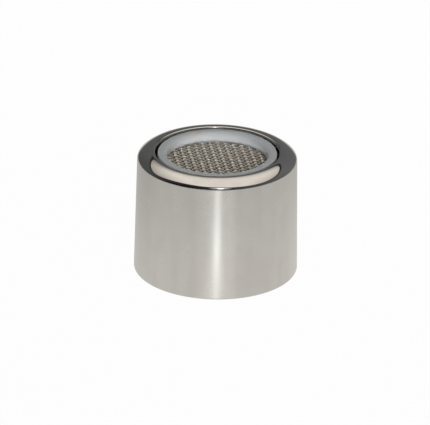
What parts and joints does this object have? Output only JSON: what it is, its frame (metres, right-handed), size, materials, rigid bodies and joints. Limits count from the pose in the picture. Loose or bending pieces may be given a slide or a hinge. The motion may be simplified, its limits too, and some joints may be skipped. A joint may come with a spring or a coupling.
{
  "type": "tap aerator",
  "caption": "Round chrome tap aerator with an internal inlet thread, a rounded lip and a recessed woven outlet screen in a white sleeve.",
  "frame": {"origin": "centre of the inlet rim, where the aerator stands", "axes": "+Z along the axis, out of the outlet; X and Y are free about the axis"},
  "size_m": [0.024, 0.024, 0.0182],
  "materials": {
    "shell": "polished chrome plate on the lip, slightly satin on the side wall",
    "sleeve_plastic": "white moulded plastic, slightly translucent, glossy",
    "inner_plastic": "natural white moulded plastic",
    "jet_plastic": "dull blue moulded plastic",
    "regulator_plastic": "dull green moulded plastic",
    "regulator_rubber": "smooth black elastomer",
    "filter_plastic": "natural white moulded plastic",
    "screen_steel": "woven stainless wire, bright on the crests",
    "washer": "matte black rubber"
  },
  "bodies": {
    "housing": {"shell": "shell"},
    "washer": {"sealing_washer": "washer"},
    "cartridge": {"cartridge_sleeve": "sleeve_plastic", "outlet_screen": "screen_steel", "screen_spacer_1": "inner_plastic", "inner_screen_1": "screen_steel", "screen_spacer_2": "inner_plastic", "inner_screen_2": "screen_steel", "screen_spacer_3": "inner_plastic", "inner_screen_3": "screen_steel", "retaining_ring": "inner_plastic", "diffuser_cone": "inner_plastic", "jet_plate": "jet_plastic", "regulator_body": "regulator_plastic", "regulator_ring": "regulator_rubber"},
    "filter": {"filter_frame": "filter_plastic", "filter_gauze": "screen_steel"}
  },
  "joints": [
    {"name": "insert_slide", "type": "slide", "parent": "housing", "child": "washer", "axis": [0, 0, -1], "range_m": [0, 0.019]},
    {"name": "cartridge_spin", "type": "hinge", "parent": "washer", "child": "cartridge", "pos_m": [0, 0, 0.009], "axis": [0, 0, 1], "continuous": true},
    {"name": "filter_slide", "type": "slide", "parent": "cartridge", "child": "filter", "axis": [0, 0, -1], "range_m": [0, 0.0105]}
  ]
}
